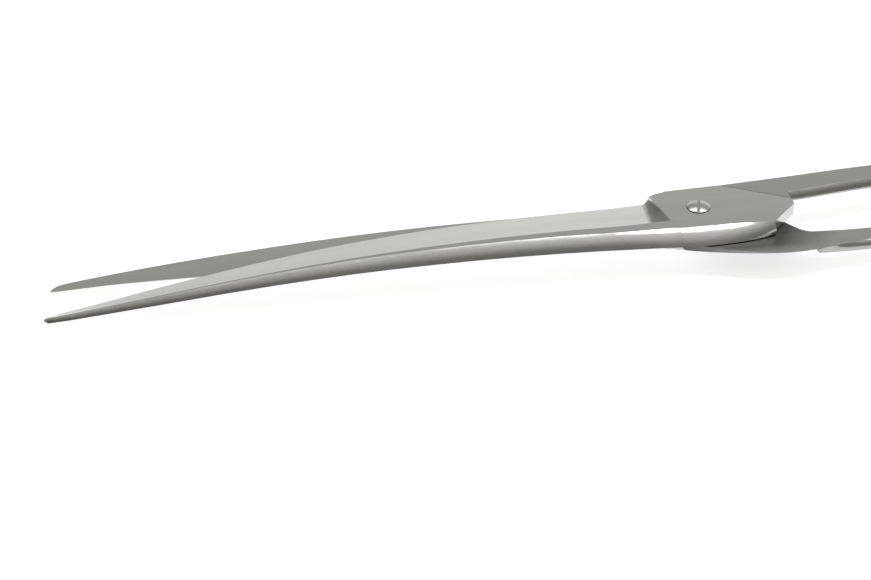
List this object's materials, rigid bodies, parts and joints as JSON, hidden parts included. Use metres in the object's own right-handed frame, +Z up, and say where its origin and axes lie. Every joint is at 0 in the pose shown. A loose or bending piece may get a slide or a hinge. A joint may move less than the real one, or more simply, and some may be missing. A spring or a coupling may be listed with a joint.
{
  "type": "curved aquascaping scissors",
  "caption": "Long slim stainless scissors with blades curved out of plane, a slotted pivot screw and oval finger rings, for trimming plants in a tank.",
  "frame": {"origin": "middle of the bounding box at its lowest level, with the blades a little open", "axes": "+X from the tips towards the finger rings, +Z up out of the joint faces along the pivot, +Y to the side the upper half's ring lies on"},
  "size_m": [0.2524, 0.07, 0.0092],
  "materials": {
    "blade_steel": "fine satin ground stainless steel",
    "handle_steel": "satin stainless steel",
    "screw_steel": "bright stainless steel"
  },
  "bodies": {
    "lower_half": {"lower_blade": "blade_steel", "lower_handle": "handle_steel", "pivot_screw": "screw_steel"},
    "upper_half": {"upper_blade": "blade_steel", "upper_handle": "handle_steel"}
  },
  "joints": [
    {"name": "pivot", "type": "hinge", "parent": "lower_half", "child": "upper_half", "pos_m": [-0.02249, 0, 0.00657], "axis": [0, 0, 1], "range_deg": [-4.2, 38]}
  ]
}
